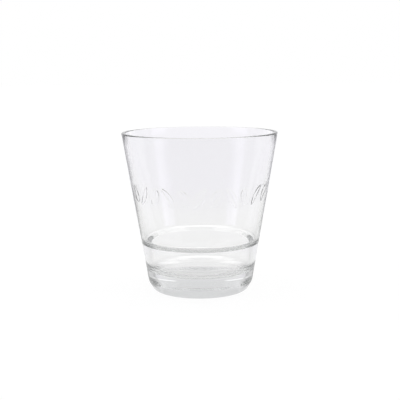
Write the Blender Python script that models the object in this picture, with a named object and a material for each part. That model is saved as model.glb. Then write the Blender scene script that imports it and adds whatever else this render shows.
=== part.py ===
"""A stackable glass tumbler with a raised frieze of leaves and coffee beans, in metres with +Z up.

The glass is one turned solid that stands on the table plane with its axis on +Z and its front towards -Y.
Each raised motif is a thin plate of its own that follows the cone of the outer wall.
"""

import math

import bmesh
import bpy
import numpy as np

# Outer wall: a straight cone, as wide as FOOT_RADIUS where it would reach the table, with a rounded heel
HEIGHT = 0.0880
RIM_RADIUS = 0.0433
FOOT_RADIUS = 0.0287
HEEL_HEIGHT = 0.0042
HEEL_ROUND = 0.0073
STAND_RADIUS = 0.0267
STAND_ROUND = 0.0008

# Hollow underside, which leaves a flat ring to stand on
HOLLOW_RADIUS = 0.0235
HOLLOW_DEPTH = 0.0005
HOLLOW_CROWN = 0.0001
HOLLOW_FLARE = 0.0008
HOLLOW_ROUND = 0.0004

# Drinking wall and lip
WALL_AT_RIM = 0.0023
WALL_AT_LEDGE = 0.0024
LIP_ROUND = 0.0005

# Sloping shoulder that a second glass stacks on, and the narrower well below it with a dished floor
LEDGE_HEIGHT = 0.0283
LEDGE_ROUND = 0.0029
WELL_MOUTH_RADIUS = 0.0276
WELL_MOUTH_DROP = 0.0020
WELL_MOUTH_ROUND = 0.0005
FLOOR_RADIUS = 0.0270
FLOOR_HEIGHT = 0.0115
FLOOR_DISH = 0.0017
FLOOR_ROUND = 0.0060

# Frieze: motifs in a row round the front of the wall
FRIEZE_HEIGHT = 0.0560
FRIEZE_SPAN = math.radians(156.0)
MOTIF_COUNT = 13
RELIEF_HEIGHT = 0.0005
GROOVE_DEPTH = 0.00025
SEAT_GAP = 0.0003

LEAF_LENGTH = 0.0130
LEAF_WIDTH = 0.0048
LEAF_TILT = math.radians(32.0)
LEAF_POINT = 0.9
LEAF_VEIN_WIDTH = 0.0006
LEAF_VEIN_SWAY = 0.0

BEAN_LENGTH = 0.0095
BEAN_WIDTH = 0.0062
BEAN_TILT = math.radians(24.0)
BEAN_POINT = 0.5
BEAN_CREASE_WIDTH = 0.0009
BEAN_CREASE_SWAY = 0.0009

# Mesh fineness
TURN_STEPS = 64
ARC_STEPS = 5
DISH_STEPS = 4
MOTIF_ROWS = 13
MOTIF_END = math.radians(80.0)
SMOOTH_ANGLE = math.radians(30.0)
MERGE_DISTANCE = 0.00001

# Finish of the glass
GLASS_COLOUR = (0.93, 0.96, 0.95, 1.0)
GLASS_ROUGHNESS = 0.04
GLASS_IOR = 1.52


def wall_radius(height):
    """Radius of the outer cone at a height above the table."""
    return FOOT_RADIUS + (RIM_RADIUS - FOOT_RADIUS) * height / HEIGHT


def round_corner(before, corner, after, radius):
    """Points of the arc that replaces a corner of an outline, limited by the shorter side next to it."""
    before, corner, after = (np.array(point) for point in (before, corner, after))
    back = (before - corner) / np.linalg.norm(before - corner)
    ahead = (after - corner) / np.linalg.norm(after - corner)
    half_angle = math.acos(np.clip(back @ ahead, -1.0, 1.0)) / 2
    room = 0.48 * min(np.linalg.norm(before - corner), np.linalg.norm(after - corner))
    reach = min(radius / math.tan(half_angle), room)
    middle = (back + ahead) / np.linalg.norm(back + ahead)
    centre = corner + middle * reach / math.cos(half_angle)
    start = corner + back * reach - centre
    end = corner + ahead * reach - centre
    sweep = math.pi - 2 * half_angle
    steps = np.linspace(0.0, 1.0, ARC_STEPS + 1)
    return [
        tuple(centre + (start * math.sin((1 - step) * sweep) + end * math.sin(step * sweep)) / math.sin(sweep))
        for step in steps
    ]


def dish(edge, slope):
    """Points from the axis out to an edge, on a parabola that reaches the edge at a slope, without the edge."""
    return [
        (edge[0] * share, edge[1] - slope * edge[0] / 2 * (1 - share * share))
        for share in np.linspace(0.0, 1.0, DISH_STEPS + 1)[:-1]
    ]


def glass_outline():
    """Half section of the glass, from the middle of the floor up, over the lip and down to the underside."""
    floor_slope = 2 * FLOOR_DISH / FLOOR_RADIUS
    hollow_slope = -2 * HOLLOW_CROWN / HOLLOW_RADIUS
    corners = [
        (0.0, FLOOR_HEIGHT - floor_slope * FLOOR_RADIUS, 0.0),
        (FLOOR_RADIUS, FLOOR_HEIGHT, FLOOR_ROUND),
        (WELL_MOUTH_RADIUS, LEDGE_HEIGHT - WELL_MOUTH_DROP, WELL_MOUTH_ROUND),
        (wall_radius(LEDGE_HEIGHT) - WALL_AT_LEDGE, LEDGE_HEIGHT, LEDGE_ROUND),
        (RIM_RADIUS - WALL_AT_RIM, HEIGHT, LIP_ROUND),
        (RIM_RADIUS, HEIGHT, LIP_ROUND),
        (wall_radius(HEEL_HEIGHT), HEEL_HEIGHT, HEEL_ROUND),
        (STAND_RADIUS, 0.0, STAND_ROUND),
        (HOLLOW_RADIUS + HOLLOW_FLARE, 0.0, HOLLOW_ROUND),
        (HOLLOW_RADIUS, HOLLOW_DEPTH, HOLLOW_ROUND),
        (0.0, HOLLOW_DEPTH - hollow_slope * HOLLOW_RADIUS, 0.0),
    ]
    points = []
    for before, corner, after in zip(corners, corners[1:], corners[2:]):
        points += round_corner(before[:2], corner[:2], after[:2], corner[2])
    return dish(points[0], floor_slope) + points + dish(points[-1], hollow_slope)[::-1]


def glass_material(name):
    """Clear, faintly green soda glass."""
    material = bpy.data.materials.new(name)
    material.use_nodes = True
    shader = material.node_tree.nodes["Principled BSDF"]
    shader.inputs["Base Color"].default_value = GLASS_COLOUR
    shader.inputs["Metallic"].default_value = 0.0
    shader.inputs["Roughness"].default_value = GLASS_ROUGHNESS
    shader.inputs["IOR"].default_value = GLASS_IOR
    shader.inputs["Transmission Weight"].default_value = 1.0
    return material


def add_object(name, mesh, parent=None):
    """Put a mesh into the scene as a named object."""
    piece = bpy.data.objects.new(name, mesh)
    bpy.context.collection.objects.link(piece)
    piece.parent = parent
    return piece


def smooth(mesh):
    """Shade a mesh smooth, with its real corners kept sharp."""
    mesh.shade_smooth()
    mesh.set_sharp_from_angle(angle=SMOOTH_ANGLE)


def build_body(parent):
    """Turn the half section into the glass."""
    points = glass_outline()
    mesh = bpy.data.meshes.new("tumbler_body")
    edges = [(index, index + 1) for index in range(len(points) - 1)]
    mesh.from_pydata([(radius, 0.0, height) for radius, height in points], edges, [])
    body = add_object("tumbler_body", mesh, parent)
    turn = body.modifiers.new("turn", "SCREW")
    turn.axis = "Z"
    turn.angle = math.tau
    turn.steps = TURN_STEPS
    turn.render_steps = TURN_STEPS
    turn.use_merge_vertices = True
    turn.merge_threshold = MERGE_DISTANCE
    turn.use_smooth_shade = True
    mesh.materials.append(glass_material("clear_glass"))
    return body


def on_wall(along, up, lift):
    """Place a point of a motif on the front of the cone: along the wall, up its slope and lifted off it."""
    slope = math.atan2(RIM_RADIUS - FOOT_RADIUS, HEIGHT)
    height = FRIEZE_HEIGHT + up * math.cos(slope)
    angle = along / wall_radius(FRIEZE_HEIGHT)
    radius = wall_radius(height) + lift / math.cos(slope)
    return (radius * math.sin(angle), -radius * math.cos(angle), height)


def motif_section(step, length, width, point, groove_width, groove_sway):
    """One cross-section of a motif: its place along the motif and its ring of (across, lift) points."""
    place = math.sin(step)
    half = width / 2 * (1 - place * place) ** point
    groove = min(groove_width / 2, half / 3)
    middle = groove_sway * math.sin(math.pi * place) * math.cos(step)
    low = SEAT_GAP
    high = SEAT_GAP + RELIEF_HEIGHT
    cut = high - GROOVE_DEPTH
    ring = [
        (-half, low), (0.0, low), (half, low), (half, high), (middle + groove, high),
        (middle + groove, cut), (middle - groove, cut), (middle - groove, high), (-half, high),
    ]
    return length / 2 * place, ring


def motif_mesh(name, tilt, length, width, point, groove_width, groove_sway):
    """Loft a motif's cross-sections, tilt it and lay it on the front of the wall."""
    mesh = bpy.data.meshes.new(name)
    form = bmesh.new()
    rings = []
    for step in np.linspace(-MOTIF_END, MOTIF_END, MOTIF_ROWS):
        place, ring = motif_section(step, length, width, point, groove_width, groove_sway)
        rings.append([
            form.verts.new(on_wall(
                across * math.cos(tilt) + place * math.sin(tilt),
                place * math.cos(tilt) - across * math.sin(tilt),
                lift,
            ))
            for across, lift in ring
        ])
    for lower, upper in zip(rings, rings[1:]):
        for index in range(len(lower)):
            beside = (index + 1) % len(lower)
            form.faces.new((lower[index], lower[beside], upper[beside], upper[index]))
    form.faces.new(rings[0])
    form.faces.new(rings[-1])
    bmesh.ops.recalc_face_normals(form, faces=form.faces)
    form.to_mesh(mesh)
    form.free()
    smooth(mesh)
    return mesh


def build_frieze(parent):
    """Set leaves and beans in turn round the front of the wall, leaning one way and then the other."""
    leaf = (LEAF_LENGTH, LEAF_WIDTH, LEAF_POINT, LEAF_VEIN_WIDTH, LEAF_VEIN_SWAY)
    bean = (BEAN_LENGTH, BEAN_WIDTH, BEAN_POINT, BEAN_CREASE_WIDTH, BEAN_CREASE_SWAY)
    kinds = {"leaf": (LEAF_TILT, leaf), "bean": (BEAN_TILT, bean)}
    materials = {kind: glass_material("relief_" + kind) for kind in kinds}
    meshes = {}
    for kind, (tilt, shape) in kinds.items():
        for lean in (-1, 1):
            mesh = motif_mesh("relief_" + kind, lean * tilt, *shape)
            mesh.materials.append(materials[kind])
            meshes[kind, lean] = mesh
    counts = dict.fromkeys(kinds, 0)
    for index in range(MOTIF_COUNT):
        kind = "leaf" if index % 2 == 0 else "bean"
        lean = -1 if index % 4 < 2 else 1
        counts[kind] += 1
        piece = add_object(f"relief_{kind}_{counts[kind]:02d}", meshes[kind, lean], parent)
        piece.rotation_euler.z = FRIEZE_SPAN * (index / (MOTIF_COUNT - 1) - 0.5)


def main():
    """Clear the scene and build the glass on an empty that marks its axis."""
    for old in list(bpy.data.objects):
        bpy.data.objects.remove(old, do_unlink=True)
    axis = add_object("glass_axis", None)
    build_body(axis)
    build_frieze(axis)


main()
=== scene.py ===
"""The looks of a stackable glass tumbler: clear pressed glass with a raised frieze, on a white table."""

import logging
import math
from dataclasses import dataclass, field
from enum import Enum

import bpy
import numpy as np
from mathutils import Matrix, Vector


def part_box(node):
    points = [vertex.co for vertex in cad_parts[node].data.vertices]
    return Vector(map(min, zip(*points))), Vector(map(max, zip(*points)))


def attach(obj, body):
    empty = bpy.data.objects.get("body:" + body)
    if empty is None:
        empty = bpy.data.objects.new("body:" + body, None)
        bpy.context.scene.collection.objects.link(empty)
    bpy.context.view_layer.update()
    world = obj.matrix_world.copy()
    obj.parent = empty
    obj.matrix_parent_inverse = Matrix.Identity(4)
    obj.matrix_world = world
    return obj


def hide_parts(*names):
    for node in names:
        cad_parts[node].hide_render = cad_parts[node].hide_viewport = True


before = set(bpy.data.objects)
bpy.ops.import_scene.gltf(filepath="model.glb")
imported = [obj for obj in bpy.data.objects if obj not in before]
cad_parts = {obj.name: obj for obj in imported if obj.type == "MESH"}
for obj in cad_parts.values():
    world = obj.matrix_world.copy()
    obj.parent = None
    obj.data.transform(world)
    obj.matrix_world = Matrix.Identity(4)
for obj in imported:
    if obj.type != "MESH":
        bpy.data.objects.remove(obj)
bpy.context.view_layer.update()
LOG = logging.getLogger("tumbler")

Socket = bpy.types.NodeSocket
Span = tuple[float, float]
Colour = tuple[float, float, float, float]

PHOTO_SIZE = 400
SENSOR_WIDTH = 36.0
LIGHT_BOUNCES = 32
WHITE: Colour = (1.0, 1.0, 1.0, 1.0)


def in_radians(*degrees: float) -> tuple[float, ...]:
    """Angles in radians from degrees."""
    return tuple(math.radians(value) for value in degrees)


def smooth_step(low: float, high: float, values: np.ndarray) -> np.ndarray:
    """Ease from 0 at low to 1 at high: 3 t squared minus 2 t cubed, with t clipped to 0 to 1.

    Args:
        low: Value at which the result is 0.
        high: Value at which the result is 1.
        values: Array to ease.

    Returns:
        An array of the same shape.
    """
    share = np.clip((values - low) / (high - low), 0.0, 1.0)
    return share * share * (3.0 - 2.0 * share)


class Nodes:
    """A short way to add and join the nodes of one node tree."""

    def __init__(self, tree: bpy.types.NodeTree) -> None:
        """Start on an empty tree."""
        self.tree = tree
        tree.nodes.clear()

    def add(self, kind: str, **settings: object) -> bpy.types.Node:
        """Add a node and set its own properties.

        Args:
            kind: Blender's type name of the node.
            **settings: Properties of the node by name.

        Returns:
            The new node.
        """
        node = self.tree.nodes.new(kind)
        for name, value in settings.items():
            setattr(node, name, value)
        return node

    def feed(self, socket: Socket, value: object) -> None:
        """Join an output to an input socket, or set the socket's own value.

        Args:
            socket: Input that is fed.
            value: Another node's output, or a number or colour.
        """
        if isinstance(value, Socket):
            self.tree.links.new(value, socket)
        else:
            socket.default_value = value

    def math(self, operation: str, *values: object) -> Socket:
        """Add a Math node.

        Args:
            operation: Blender's name of the operation.
            *values: Outputs or numbers for its inputs.

        Returns:
            The result's socket.
        """
        node = self.add("ShaderNodeMath", operation=operation)
        for socket, value in zip(node.inputs, values):
            self.feed(socket, value)
        return node.outputs[0]

    def blend(self, first: object, second: object, share: object) -> Socket:
        """Add a Mix node for numbers.

        Args:
            first: Output or number at a share of 0.
            second: Output or number at a share of 1.
            share: Output or number from 0 to 1.

        Returns:
            The result's socket.
        """
        node = self.add("ShaderNodeMix")
        for name, value in zip(("Factor", "A", "B"), (share, first, second)):
            self.feed(node.inputs[name], value)
        return node.outputs["Result"]

    def split(self, vector: Socket) -> bpy.types.Node:
        """Add a Separate XYZ node.

        Args:
            vector: Place or direction.

        Returns:
            The node, with an output for each coordinate.
        """
        node = self.add("ShaderNodeSeparateXYZ")
        self.feed(node.inputs[0], vector)
        return node

    def turn(self, split: bpy.types.Node) -> Socket:
        """Angle about the upright axis from the camera's side, 0, over either side to straight behind, pi.

        Args:
            split: Separate XYZ node of a place or direction.

        Returns:
            The angle.
        """
        across = self.math("ABSOLUTE", split.outputs["X"])
        return self.math("ARCTAN2", across, self.math("MULTIPLY", split.outputs["Y"], -1.0))

    def ease(self, value: object, span: Span, ends: Span) -> Socket:
        """Add a smooth Map Range node.

        Args:
            value: Output that is mapped.
            span: Values at which the result reaches its two ends.
            ends: Results at the two ends of the span.

        Returns:
            The result's socket.
        """
        node = self.add("ShaderNodeMapRange", interpolation_type="SMOOTHSTEP")
        self.feed(node.inputs["Value"], value)
        for name, number in zip(("From Min", "From Max", "To Min", "To Max"), (*span, *ends)):
            self.feed(node.inputs[name], number)
        return node.outputs["Result"]


@dataclass(frozen=True)
class ClearGlass:
    """Clear pressed glass: faintly grey in its thick parts, wavy, a little smeared and dull on the foot."""

    ior: float = 1.52
    tint: Colour = (0.907, 0.911, 0.908, 1.0)
    tint_density: float = 40.0
    wave_size: float = 0.022
    wave_detail: float = 1.0
    wave_height: float = 0.00002
    foot_rough: float = 0.21
    foot_rough_fade: Span = (0.00066, 0.0011)
    smear_rough: float = 0.012
    smear_size: float = 0.030
    smear_detail: float = 3.0
    smear_noise: Span = (0.55, 0.80)

    def material(self) -> bpy.types.Material:
        """Make the glass as a node material on Object coordinates.

        Returns:
            The material.
        """
        material = bpy.data.materials.new("clear_glass")
        material.use_nodes = True
        nodes = Nodes(material.node_tree)
        place = nodes.add("ShaderNodeTexCoord").outputs["Object"]
        shader = nodes.add("ShaderNodeBsdfPrincipled")
        shader.inputs["Base Color"].default_value = WHITE
        shader.inputs["IOR"].default_value = self.ior
        shader.inputs["Transmission Weight"].default_value = 1.0
        nodes.feed(shader.inputs["Roughness"], self.roughness(nodes, place))
        nodes.feed(shader.inputs["Normal"], self.waviness(nodes, place))
        absorb = nodes.add("ShaderNodeVolumeAbsorption")
        absorb.inputs["Color"].default_value = self.tint
        absorb.inputs["Density"].default_value = self.tint_density
        output = nodes.add("ShaderNodeOutputMaterial")
        nodes.feed(output.inputs["Surface"], shader.outputs["BSDF"])
        nodes.feed(output.inputs["Volume"], absorb.outputs["Volume"])
        return material

    def roughness(self, nodes: Nodes, place: Socket) -> Socket:
        """Roughness of the stippled foot, plus faint smears from handling.

        Args:
            nodes: Tree that the nodes go into.
            place: Object coordinates.

        Returns:
            The roughness.
        """
        height = nodes.split(place).outputs["Z"]
        foot = nodes.ease(height, self.foot_rough_fade, (self.foot_rough, 0.0))
        smear = nodes.add("ShaderNodeTexNoise")
        nodes.feed(smear.inputs["Vector"], place)
        smear.inputs["Scale"].default_value = 1.0 / self.smear_size
        smear.inputs["Detail"].default_value = self.smear_detail
        streaks = nodes.ease(smear.outputs["Fac"], self.smear_noise, (0.0, self.smear_rough))
        return nodes.math("ADD", foot, streaks)

    def waviness(self, nodes: Nodes, place: Socket) -> Socket:
        """Low waves that the mould leaves in the skin of the glass.

        Args:
            nodes: Tree that the nodes go into.
            place: Object coordinates.

        Returns:
            The bent normal.
        """
        wave = nodes.add("ShaderNodeTexNoise")
        nodes.feed(wave.inputs["Vector"], place)
        wave.inputs["Scale"].default_value = 1.0 / self.wave_size
        wave.inputs["Detail"].default_value = self.wave_detail
        bump = nodes.add("ShaderNodeBump")
        bump.inputs["Strength"].default_value = 1.0
        bump.inputs["Distance"].default_value = self.wave_height
        nodes.feed(bump.inputs["Height"], wave.outputs["Fac"])
        return bump.outputs["Normal"]


class Motif(Enum):
    """The two motifs of the frieze."""

    LEAF = "leaf"
    BEAN = "bean"


@dataclass(frozen=True)
class MotifShape:
    """A raised motif with a groove along it.

    Its half width is half of width times (1 - t squared) to the power point, where t runs from -1 to 1.
    """

    length: float
    width: float
    tilt: float
    point: float
    groove_width: float
    groove_sway: float

    def relief(
        self, along: np.ndarray, up: np.ndarray, lean: int, edge: float
    ) -> tuple[np.ndarray, np.ndarray]:
        """How far each point of the wall is inside the motif, and inside its groove, from 0 to 1.

        Args:
            along: Distance from the motif's middle, round the wall.
            up: Distance from the motif's middle, up the wall.
            lean: 1 or -1, the way that it leans.
            edge: Width of the slope at its edges.

        Returns:
            The share of the full height, and the share of the groove's depth.
        """
        turn = lean * self.tilt
        place = along * math.sin(turn) + up * math.cos(turn)
        across = along * math.cos(turn) - up * math.sin(turn)
        share = np.clip(2.0 * place / self.length, -1.0, 1.0)
        half = self.width / 2 * (1.0 - share * share) ** self.point
        inside = smooth_step(0.0, edge, half - np.abs(across))
        middle = self.groove_sway * np.sin(math.pi * share) * np.sqrt(1.0 - share * share)
        groove = np.minimum(self.groove_width / 2, half / 3)
        cut = smooth_step(-edge / 2, edge / 2, groove - np.abs(across - middle))
        return inside, cut * inside


@dataclass
class Frieze:
    """A row of leaves and beans in turn, round the front of the wall."""

    height: float = 0.0560
    span: float = math.radians(156.0)
    count: int = 13
    relief_height: float = 0.0005
    groove_depth: float = 0.00028
    edge: float = 0.00028
    side_share: float = 0.10
    side_fade: float = 3.0
    reach: float = 0.0065
    shapes: dict[Motif, MotifShape] = field(default_factory=lambda: {
        Motif.LEAF: MotifShape(0.0130, 0.0048, math.radians(32.0), 0.9, 0.0006, 0.0),
        Motif.BEAN: MotifShape(0.0095, 0.0062, math.radians(24.0), 0.5, 0.0009, 0.0009),
    })

    def kind(self, index: int) -> Motif:
        """The motif at a place in the row."""
        return Motif.LEAF if index % 2 == 0 else Motif.BEAN

    def lean(self, index: int) -> int:
        """The way that a motif leans, 1 or -1, which changes after every second motif."""
        return -1 if index % 4 < 2 else 1

    def lift(self, angle: np.ndarray, up: np.ndarray, radius: float) -> np.ndarray:
        """Height of the relief over the plain wall: the sum over the motifs of plateau minus groove.

        The motifs flatten towards the sides of the glass with a power of the cosine of their angle, as
        they have to for a mould to open.

        Args:
            angle: Angle round the glass from its front.
            up: Distance up the wall from the middle of the frieze.
            radius: Radius of the wall there.

        Returns:
            The height at each point.
        """
        total = np.zeros(np.broadcast(angle, up).shape)
        for index in range(self.count):
            centre = self.span * (index / (self.count - 1) - 0.5)
            shape = self.shapes[self.kind(index)]
            inside, cut = shape.relief((angle - centre) * radius, up, self.lean(index), self.edge)
            share = self.side_share + (1.0 - self.side_share) * math.cos(centre) ** self.side_fade
            total += share * (self.relief_height * inside - self.groove_depth * cut)
        return total

    def nodes(self) -> list[str]:
        """Names of the CAD nodes that the frieze stands for."""
        return sorted(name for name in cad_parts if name.startswith("relief_"))


@dataclass
class Tumbler:
    """The glass: a turned section with its frieze pressed into the outer wall as one closed surface.

    Lengths are in metres. A round takes up at most the share round_room of the shorter side beside it, and
    rounds_to_lip counts the rounds from the floor up to the outer edge of the lip.
    """

    height: float
    frieze: Frieze = field(default_factory=Frieze)
    finish: ClearGlass = field(default_factory=ClearGlass)
    rim_radius: float = 0.0433
    foot_radius: float = 0.0287
    heel_height: float = 0.0042
    heel_round: float = 0.0073
    stand_radius: float = 0.0267
    stand_round: float = 0.0008
    hollow_radius: float = 0.0235
    hollow_depth: float = 0.0005
    hollow_crown: float = 0.0001
    hollow_flare: float = 0.0008
    hollow_round: float = 0.0004
    wall_at_rim: float = 0.0023
    wall_at_ledge: float = 0.0024
    lip_round: float = 0.0005
    ledge_height: float = 0.0283
    ledge_round: float = 0.0029
    mouth_radius: float = 0.0276
    mouth_drop: float = 0.0020
    mouth_round: float = 0.0005
    floor_radius: float = 0.0270
    floor_height: float = 0.0115
    floor_dish: float = 0.0017
    floor_round: float = 0.0060
    round_room: float = 0.48
    rounds_to_lip: int = 5
    arc_steps: int = 10
    dish_steps: int = 8
    turn_steps: int = 192
    fine_split: int = 8
    band_step: float = 0.00016
    wall_step: float = 0.006
    wall_tolerance: float = 1e-7

    @property
    def slope(self) -> float:
        """Angle of the outer wall from upright."""
        return math.atan2(self.rim_radius - self.foot_radius, self.height)

    @property
    def floor_slope(self) -> float:
        """Slope of the dished floor at its edge."""
        return 2.0 * self.floor_dish / self.floor_radius

    @property
    def hollow_slope(self) -> float:
        """Slope of the crowned underside at its edge."""
        return -2.0 * self.hollow_crown / self.hollow_radius

    def wall_radius(self, height: float) -> float:
        """Radius of the plain outer cone at a height."""
        return self.foot_radius + (self.rim_radius - self.foot_radius) * height / self.height

    def corners(self) -> np.ndarray:
        """Corners of the half section, from the floor over the lip to the underside.

        Returns:
            Radius, height and rounding of each corner. The first and the last only give a direction.
        """
        return np.array([
            (0.0, self.floor_height - self.floor_slope * self.floor_radius, 0.0),
            (self.floor_radius, self.floor_height, self.floor_round),
            (self.mouth_radius, self.ledge_height - self.mouth_drop, self.mouth_round),
            (self.wall_radius(self.ledge_height) - self.wall_at_ledge, self.ledge_height, self.ledge_round),
            (self.rim_radius - self.wall_at_rim, self.height, self.lip_round),
            (self.rim_radius, self.height, self.lip_round),
            (self.wall_radius(self.heel_height), self.heel_height, self.heel_round),
            (self.stand_radius, 0.0, self.stand_round),
            (self.hollow_radius + self.hollow_flare, 0.0, self.hollow_round),
            (self.hollow_radius, self.hollow_depth, self.hollow_round),
            (0.0, self.hollow_depth - self.hollow_slope * self.hollow_radius, 0.0),
        ])

    def arc(self, before: np.ndarray, corner: np.ndarray, after: np.ndarray, radius: float) -> np.ndarray:
        """Round a corner: the circle of that radius which touches both sides, swept from one to the other.

        Args:
            before: Corner before this one.
            corner: Corner that is rounded.
            after: Corner after this one.
            radius: Radius, limited by a share of the shorter side.

        Returns:
            Points of the arc.
        """
        back = (before - corner) / np.linalg.norm(before - corner)
        ahead = (after - corner) / np.linalg.norm(after - corner)
        half = math.acos(np.clip(back @ ahead, -1.0, 1.0)) / 2
        shorter = min(np.linalg.norm(before - corner), np.linalg.norm(after - corner))
        reach = min(radius / math.tan(half), self.round_room * shorter)
        centre = corner + (back + ahead) / np.linalg.norm(back + ahead) * reach / math.cos(half)
        start = corner + back * reach - centre
        end = corner + ahead * reach - centre
        sweep = math.pi - 2 * half
        share = np.linspace(0.0, 1.0, self.arc_steps + 1)[:, None]
        return centre + (start * np.sin((1 - share) * sweep) + end * np.sin(share * sweep)) / math.sin(sweep)

    def dish(self, edge: np.ndarray, slope: float) -> np.ndarray:
        """Rows from the axis out to an edge: a parabola that reaches the edge at a given slope.

        Args:
            edge: Radius and height of the edge, which is left out.
            slope: Rise over run at the edge.

        Returns:
            Radius and height of each row, from the axis out.
        """
        share = np.linspace(0.0, 1.0, self.dish_steps + 1)[:-1]
        fall = slope * edge[0] / 2 * (1.0 - share * share)
        return np.column_stack([edge[0] * share, edge[1] - fall])

    def section(self) -> tuple[np.ndarray, np.ndarray, np.ndarray]:
        """The half section with its rounds, in three runs of rows.

        Returns:
            Radius and height of each row: from the floor's middle to the top of the frieze, close rows over
            the frieze, and from its bottom to the underside's middle.
        """
        corners = self.corners()
        places, rounds = corners[:, :2], corners[:, 2]
        arcs = [
            self.arc(places[index - 1], places[index], places[index + 1], rounds[index])
            for index in range(1, len(places) - 1)
        ]
        inside, outside = arcs[:self.rounds_to_lip], arcs[self.rounds_to_lip:]
        band_high = self.frieze.height + self.frieze.reach
        band_low = self.frieze.height - self.frieze.reach
        above = self.wall_rows(inside[-1][-1, 1], band_high, self.wall_step)[1:]
        band = self.wall_rows(band_high, band_low, self.band_step)
        below = self.wall_rows(band_low, outside[0][0, 1], self.wall_step)[1:-1]
        floor = self.dish(inside[0][0], self.floor_slope)
        underside = self.dish(outside[-1][-1], self.hollow_slope)[::-1]
        return np.vstack([floor, *inside, above[:-1]]), band, np.vstack([below, *outside, underside])

    def wall_rows(self, top: float, bottom: float, step: float) -> np.ndarray:
        """Even rows of the outer wall between two heights.

        Args:
            top: Height of the first row.
            bottom: Height of the last row.
            step: Distance between rows, about.

        Returns:
            Radius and height of each row, top to bottom.
        """
        heights = np.linspace(top, bottom, max(2, round((top - bottom) / step) + 1))
        return np.column_stack([self.wall_radius(heights), heights])

    def angles(self) -> tuple[np.ndarray, np.ndarray]:
        """Angles of the columns round the glass, from its left side over its front.

        Returns:
            The plain columns, and the columns over the frieze, which are split finely in the front half.
        """
        plain = math.tau * np.arange(self.turn_steps) / self.turn_steps - math.pi / 2
        half = self.turn_steps // 2
        front = math.pi * np.arange(half * self.fine_split) / (half * self.fine_split) - math.pi / 2
        return plain, np.concatenate([front, plain[half:]])

    def turned(self, section: np.ndarray, angles: np.ndarray) -> np.ndarray:
        """Points of the glass: each row's radius turned by each angle, plus the frieze square to the wall.

        Args:
            section: Radius and height of each row.
            angles: Angle of each column.

        Returns:
            Array of rows by columns by three coordinates.
        """
        radius, height = section[:, :1], section[:, 1:]
        on_wall = np.abs(radius - self.wall_radius(height)) < self.wall_tolerance
        up = (height - self.frieze.height) / math.cos(self.slope)
        lift = self.frieze.lift(angles[None, :], up, self.wall_radius(self.frieze.height)) * on_wall
        radius = radius + lift * math.cos(self.slope)
        height = height - lift * math.sin(self.slope)
        return np.stack([radius * np.sin(angles), -radius * np.cos(angles), height], axis=-1)

    def grid_faces(self, first: int, rows: int, columns: int) -> np.ndarray:
        """Quads of a grid that closes on itself round the glass.

        Args:
            first: Index of the grid's first point.
            rows: Number of rows.
            columns: Number of columns.

        Returns:
            Four indices for each quad.
        """
        here = np.arange(columns)
        beside = (here + 1) % columns
        row = first + np.arange(rows - 1)[:, None] * columns
        below = row + columns
        return np.stack([row + here, below + here, below + beside, row + beside], axis=-1).reshape(-1, 4)

    def seam_faces(self, plain: int, fine: int, fine_below: bool) -> tuple[np.ndarray, np.ndarray]:
        """Faces between a plain row and a fine row: fans in the front half, and quads in the back half.

        Args:
            plain: Index of the plain row's first point.
            fine: Index of the fine row's first point.
            fine_below: Whether the fine row comes after the plain one.

        Returns:
            The quads and the triangles.
        """
        half, split = self.turn_steps // 2, self.fine_split
        cell = np.arange(half)[:, None]
        part = np.arange(split)[None, :]
        near = plain + cell + (part >= split // 2)
        left = fine + cell * split + part
        fans = np.stack([near, left, left + 1], axis=-1).reshape(-1, 3)
        middle = fine + cell[:, 0] * split + split // 2
        ties = np.stack([plain + cell[:, 0], middle, plain + cell[:, 0] + 1], axis=-1)
        triangles = np.concatenate([fans, ties])
        here = np.arange(half, self.turn_steps)
        beside = plain + (here + 1) % self.turn_steps
        columns = half * split + half
        low = half * split + here - half
        quads = np.stack([plain + here, fine + low, fine + (low + 1) % columns, beside], axis=-1)
        if fine_below:
            return quads, triangles
        return quads[:, ::-1], triangles[:, ::-1]

    def surface(self) -> tuple[np.ndarray, np.ndarray, np.ndarray]:
        """Join the three grids into one closed surface, with a fan of triangles at each middle point.

        Returns:
            The points, the quads and the triangles, with the faces outward.
        """
        upper_run, band, lower_run = self.section()
        plain, fine = self.angles()
        runs = ((upper_run[1:], plain), (band, fine), (lower_run[:-1], plain))
        grids = [self.turned(rows, angles) for rows, angles in runs]
        middles = [(0.0, 0.0, upper_run[0, 1]), (0.0, 0.0, lower_run[-1, 1])]
        points = np.vstack([*(grid.reshape(-1, 3) for grid in grids), middles])
        starts = np.cumsum([0, *(grid.shape[0] * grid.shape[1] for grid in grids)])
        columns = self.turn_steps
        here = np.arange(columns)
        beside = (here + 1) % columns
        last = starts[3] - columns
        inner = np.stack([np.full(columns, starts[3]), here, beside], axis=-1)
        outer = np.stack([last + beside, last + here, np.full(columns, starts[3] + 1)], axis=-1)
        upper = self.seam_faces(starts[1] - columns, starts[1], True)
        lower = self.seam_faces(starts[2], starts[2] - len(fine), False)
        quads = [self.grid_faces(start, *grid.shape[:2]) for start, grid in zip(starts, grids)]
        fours = np.concatenate([*quads, upper[0], lower[0]])
        threes = np.concatenate([inner, outer, upper[1], lower[1]])
        return points, fours, threes

    def mesh(self) -> bpy.types.Mesh:
        """Make a smooth mesh of the closed surface.

        Returns:
            The mesh, with its faces outward.
        """
        points, fours, threes = self.surface()
        corners = np.concatenate([fours.ravel(), threes.ravel()]).astype(np.int32)
        sizes = np.concatenate([np.full(len(fours), 4), np.full(len(threes), 3)])
        starts = np.concatenate([[0], np.cumsum(sizes)[:-1]]).astype(np.int32)
        mesh = bpy.data.meshes.new("tumbler")
        mesh.vertices.add(len(points))
        mesh.vertices.foreach_set("co", points.astype(np.float32).ravel())
        mesh.loops.add(len(corners))
        mesh.loops.foreach_set("vertex_index", corners)
        mesh.polygons.add(len(sizes))
        mesh.polygons.foreach_set("loop_start", starts)
        mesh.update(calc_edges=True)
        mesh.validate()
        mesh.shade_smooth()
        return mesh

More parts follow.
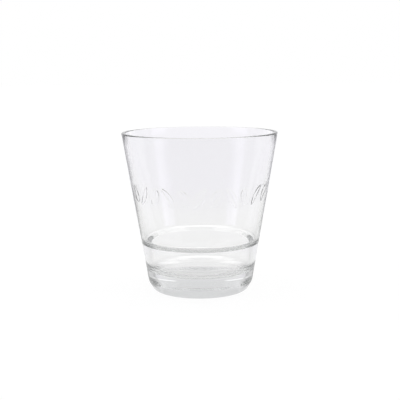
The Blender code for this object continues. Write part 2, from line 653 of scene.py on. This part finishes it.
    def build(self) -> bpy.types.Object:
        """Make the glass, dress it and let it stand for the CAD nodes.

        Returns:
            The finished piece.
        """
        piece = bpy.data.objects.new("tumbler", self.mesh())
        bpy.context.scene.collection.objects.link(piece)
        piece.data.materials.append(self.finish.material())
        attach(piece, "root")
        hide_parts("tumbler_body", *self.frieze.nodes())
        return piece


@dataclass(frozen=True)
class Patch:
    """A soft-edged patch of the surroundings that is brighter than what is round it.

    The reach is a rise in radians on the dome, and a distance from the glass's axis in metres on the floor,
    where a patch is a painted pool of light.
    """

    level: float
    turn: float
    half_turn: Span
    reach_from: Span
    reach_to: Span

    def light(self, nodes: Nodes, turn: Socket, reach: Socket) -> Socket:
        """Level that the patch adds.

        Args:
            nodes: Tree that the nodes go into.
            turn: Turn of the direction or place.
            reach: Rise of the direction, or distance of the place.

        Returns:
            The level.
        """
        away = nodes.math("ABSOLUTE", nodes.math("SUBTRACT", turn, self.turn))
        across = nodes.ease(away, self.half_turn, (self.level, 0.0))
        inner = nodes.ease(reach, self.reach_from, (0.0, 1.0))
        outer = nodes.ease(reach, self.reach_to, (1.0, 0.0))
        return nodes.math("MULTIPLY", across, nodes.math("MULTIPLY", inner, outer))


@dataclass(frozen=True)
class StudioDome:
    """Light that the glass sees: dim by the camera, near white behind, and a soft box on each side.

    Directions are angles in radians: the turn is from the camera's side, 0, over either side to straight
    behind, pi, and the rise is from the horizon. A pair of levels is the one low down and the one above.
    """

    tint: Colour = (0.985, 0.985, 1.0, 1.0)
    front: Span = (0.25, 0.42)
    front_rise: Span = in_radians(15.0, 25.4)
    side: Span = (0.17, 1.40)
    side_rise: Span = in_radians(6.1, 35.0)
    side_turn: Span = in_radians(49.0, 55.0)
    back: Span = (0.93, 0.90)
    back_rise: Span = in_radians(8.0, 22.0)
    back_turn: Span = in_radians(122.0, 142.0)
    top: float = 1.0
    top_rise: Span = in_radians(55.0, 85.0)
    box_tint: Colour = (0.82, 0.77, 1.0, 1.0)
    box_level: float = 1.6
    box_turn: float = math.radians(70.0)
    box_half: Span = in_radians(8.0, 20.0)
    box_lean: float = 0.5
    box_lean_rise: float = math.radians(7.0)
    box_rise: Span = in_radians(3.0, 8.3)
    cards: tuple[Patch, ...] = (
        Patch(0.64, math.radians(122.0), in_radians(6.0, 16.0), in_radians(0.0, 2.0), in_radians(4.0, 12.0)),
        Patch(0.42, math.radians(150.0), in_radians(8.0, 14.0), in_radians(1.0, 3.0), in_radians(4.5, 6.5)),
    )

    def build(self) -> None:
        """Make the world: plain white for the camera, and the studio for everything else."""
        world = bpy.data.worlds.new("studio")
        bpy.context.scene.world = world
        world.use_nodes = True
        nodes = Nodes(world.node_tree)
        split = nodes.split(nodes.add("ShaderNodeTexCoord").outputs["Generated"])
        turn = nodes.turn(split)
        rise = nodes.math("ARCSINE", split.outputs["Z"])
        studio = self.backdrop(nodes, self.room(nodes, turn, rise), self.soft_boxes(nodes, turn, rise))
        white = nodes.add("ShaderNodeBackground")
        white.inputs["Color"].default_value = WHITE
        seen = nodes.add("ShaderNodeMixShader")
        nodes.feed(seen.inputs[0], nodes.add("ShaderNodeLightPath").outputs["Is Camera Ray"])
        nodes.feed(seen.inputs[1], studio)
        nodes.feed(seen.inputs[2], white.outputs[0])
        output = nodes.add("ShaderNodeOutputWorld")
        nodes.feed(output.inputs["Surface"], seen.outputs[0])

    def room(self, nodes: Nodes, turn: Socket, rise: Socket) -> Socket:
        """Level of the room: three levels by turn, each eased with the rise, under one level overhead.

        Args:
            nodes: Tree that the nodes go into.
            turn: Turn of the direction.
            rise: Rise of the direction.

        Returns:
            The level.
        """
        front = nodes.ease(rise, self.front_rise, self.front)
        side = nodes.ease(rise, self.side_rise, self.side)
        back = nodes.ease(rise, self.back_rise, self.back)
        near = nodes.blend(front, side, nodes.ease(turn, self.side_turn, (0.0, 1.0)))
        around = nodes.blend(near, back, nodes.ease(turn, self.back_turn, (0.0, 1.0)))
        for card in self.cards:
            around = nodes.math("ADD", around, card.light(nodes, turn, rise))
        return nodes.blend(around, self.top, nodes.ease(rise, self.top_rise, (0.0, 1.0)))

    def soft_boxes(self, nodes: Nodes, turn: Socket, rise: Socket) -> Socket:
        """Level of the low soft boxes on either side, whose sides lean away from the camera as they rise.

        Args:
            nodes: Tree that the nodes go into.
            turn: Turn of the direction.
            rise: Rise of the direction.

        Returns:
            The level.
        """
        above = nodes.math("SUBTRACT", rise, self.box_lean_rise)
        middle = nodes.math("ADD", nodes.math("MULTIPLY", above, self.box_lean), self.box_turn)
        away = nodes.math("ABSOLUTE", nodes.math("SUBTRACT", turn, middle))
        across = nodes.ease(away, self.box_half, (self.box_level, 0.0))
        return nodes.math("MULTIPLY", across, nodes.ease(rise, self.box_rise, (1.0, 0.0)))

    def backdrop(self, nodes: Nodes, room: Socket, boxes: Socket) -> Socket:
        """Join the room and the soft boxes, each in its own tint.

        Args:
            nodes: Tree that the nodes go into.
            room: Level of the room.
            boxes: Level of the soft boxes.

        Returns:
            The background.
        """
        both = nodes.add("ShaderNodeAddShader")
        for index, (level, tint) in enumerate(((room, self.tint), (boxes, self.box_tint))):
            light = nodes.add("ShaderNodeBackground")
            light.inputs["Color"].default_value = tint
            nodes.feed(light.inputs["Strength"], level)
            nodes.feed(both.inputs[index], light.outputs[0])
        return both.outputs[0]


@dataclass(frozen=True)
class StudioFloor:
    """A white table: even for the camera, and for the glass a glow of painted light and shade, near white
    behind it and darker elsewhere.

    A pair of levels is the one near the glass, which holds the glass's painted shadow, and the one farther
    off, and the front has one between them, which is a painted caustic pool of light.
    Rings are distances from the glass's axis, and turns are as on the dome.
    """

    half: float = 6.0
    drop: float = 0.0002
    paint: Colour = (0.08, 0.08, 0.08, 1.0)
    seen: float = 0.94
    # Glow under the glass's foot, darkened as a painted shadow of the glass, fading out over the ring below.
    painted_shadow_under: float = 0.77
    painted_shadow_ring: Span = (0.0255, 0.0285)
    back: Span = (0.88, 0.925)
    back_ring: Span = (0.06, 0.2)
    back_turn: Span = in_radians(106.0, 152.7)
    side: Span = (0.60, 0.72)
    side_ring: Span = (0.095, 0.125)
    side_turn: Span = in_radians(49.0, 55.0)
    # In front: a painted shadow of the glass near its foot, then a painted caustic pool of light, then the
    # dimmer floor farther off.
    front: tuple[float, float, float] = (0.0, 0.74, 0.25)
    front_ring: Span = (0.038, 0.068)
    front_far_ring: Span = (0.059, 0.139)
    # Painted caustic pools of light that the glass would throw on the table behind it.
    painted_caustic_pools: tuple[Patch, ...] = (
        Patch(0.22, math.pi, in_radians(8.0, 18.0), (0.064, 0.072), (0.090, 0.100)),
        Patch(0.09, math.radians(164.0), in_radians(7.0, 11.0), (0.050, 0.055), (0.068, 0.076)),
        Patch(0.13, math.radians(150.0), in_radians(8.0, 14.0), (0.036, 0.040), (0.048, 0.052)),
    )
    near_tint: Colour = WHITE
    far_tint: Colour = (0.98, 0.971, 1.012, 1.0)
    far_ring: Span = (0.13, 0.34)

    def build(self) -> None:
        """Make the floor as one wide square just under the glass."""
        grid = self.half * np.array([[-1.0, -1.0], [1.0, -1.0], [1.0, 1.0], [-1.0, 1.0]])
        mesh = bpy.data.meshes.new("floor")
        mesh.from_pydata(np.column_stack([grid, np.full(4, -self.drop)]).tolist(), [], [(0, 1, 2, 3)])
        floor = bpy.data.objects.new("floor", mesh)
        bpy.context.scene.collection.objects.link(floor)
        mesh.materials.append(self.material())

    def material(self) -> bpy.types.Material:
        """Matt paint, which takes the glass's shadow, plus a glow: even white for the camera, and for the
        glass painted light and shade of a lit table.

        Returns:
            The material.
        """
        material = bpy.data.materials.new("studio_floor")
        material.use_nodes = True
        nodes = Nodes(material.node_tree)
        place = nodes.add("ShaderNodeTexCoord").outputs["Object"]
        camera = nodes.add("ShaderNodeLightPath").outputs["Is Camera Ray"]
        length = nodes.add("ShaderNodeVectorMath", operation="LENGTH")
        nodes.feed(length.inputs[0], place)
        away = length.outputs["Value"]
        # The glow is an even white for the camera, and for the glass it is painted light and shade: the
        # glass's shadow and caustic pools of light.
        glow = nodes.add("ShaderNodeEmission")
        nodes.feed(glow.inputs["Strength"], nodes.blend(self.glow(nodes, place, away), self.seen, camera))
        nodes.feed(glow.inputs["Color"], self.tint(nodes, away, camera))
        paint = nodes.add("ShaderNodeBsdfDiffuse")
        paint.inputs["Color"].default_value = self.paint
        both = nodes.add("ShaderNodeAddShader")
        nodes.feed(both.inputs[0], paint.outputs[0])
        nodes.feed(both.inputs[1], glow.outputs[0])
        output = nodes.add("ShaderNodeOutputMaterial")
        nodes.feed(output.inputs["Surface"], both.outputs[0])
        return material

    def tint(self, nodes: Nodes, away: Socket, camera: Socket) -> Socket:
        """Tint of the glow: the near tint for the camera, and for the glass eased to the far tint.

        Args:
            nodes: Tree that the nodes go into.
            away: Distance from the glass's axis.
            camera: 1 for a ray from the camera, and 0 for others.

        Returns:
            The colour.
        """
        mix = nodes.add("ShaderNodeMixRGB")
        far = nodes.ease(away, self.far_ring, (0.0, 1.0))
        nodes.feed(mix.inputs["Fac"], nodes.math("MULTIPLY", far, nodes.math("SUBTRACT", 1.0, camera)))
        mix.inputs["Color1"].default_value = self.near_tint
        mix.inputs["Color2"].default_value = self.far_tint
        return mix.outputs[0]

    def glow(self, nodes: Nodes, place: Socket, away: Socket) -> Socket:
        """Glow that the glass sees, painted light and shade of the table with the glass's shadow near and
        under it and caustic pools of light behind it, eased by the distance from it and by the turn from the
        camera's side.

        Args:
            nodes: Tree that the nodes go into.
            place: Object coordinates.
            away: Distance from the glass's axis.

        Returns:
            The strength.
        """
        turn = nodes.turn(nodes.split(place))
        far = nodes.ease(away, self.front_far_ring, (0.0, self.front[2] - self.front[1]))
        front = nodes.math("ADD", nodes.ease(away, self.front_ring, self.front[:2]), far)
        side = nodes.ease(away, self.side_ring, self.side)
        back = nodes.ease(away, self.back_ring, self.back)
        near = nodes.blend(front, side, nodes.ease(turn, self.side_turn, (0.0, 1.0)))
        around = nodes.blend(near, back, nodes.ease(turn, self.back_turn, (0.0, 1.0)))
        # Painted caustic pools of light.
        for painted_caustic_pool in self.painted_caustic_pools:
            around = nodes.math("ADD", around, painted_caustic_pool.light(nodes, turn, away))
        # Painted shadow under the glass's foot.
        return nodes.blend(self.painted_shadow_under, around, nodes.ease(away, self.painted_shadow_ring, (0.0, 1.0)))


@dataclass
class PhotoCamera:
    """The photograph's view: a near camera that looks a little down on the front of the glass."""

    distance: float = 0.448
    height: float = 0.1224
    down: float = math.radians(9.22)
    roll: float = math.radians(-0.45)
    focal_pixels: float = 807.0
    clip_start: float = 0.01

    def build(self) -> None:
        """Make the camera and look through it."""
        data = bpy.data.cameras.new("camera")
        data.sensor_width = SENSOR_WIDTH
        data.lens = self.focal_pixels / PHOTO_SIZE * SENSOR_WIDTH
        data.clip_start = self.clip_start
        camera = bpy.data.objects.new("camera", data)
        bpy.context.scene.collection.objects.link(camera)
        tilt = Matrix.Rotation(math.pi / 2 - self.down, 4, "X") @ Matrix.Rotation(self.roll, 4, "Z")
        camera.matrix_world = Matrix.Translation((0.0, -self.distance, self.height)) @ tilt
        bpy.context.scene.camera = camera


def main() -> None:
    """Build the camera, the glass and the studio."""
    logging.basicConfig(level=logging.INFO)
    scene = bpy.context.scene
    scene.view_settings.view_transform = "Standard"
    scene.cycles.max_bounces = LIGHT_BOUNCES
    scene.cycles.glossy_bounces = LIGHT_BOUNCES
    scene.cycles.transmission_bounces = LIGHT_BOUNCES
    PhotoCamera().build()
    low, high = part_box("tumbler_body")
    glass = Tumbler(height=high.z - low.z).build()
    StudioFloor().build()
    StudioDome().build()


if __name__ == "__main__":
    main()
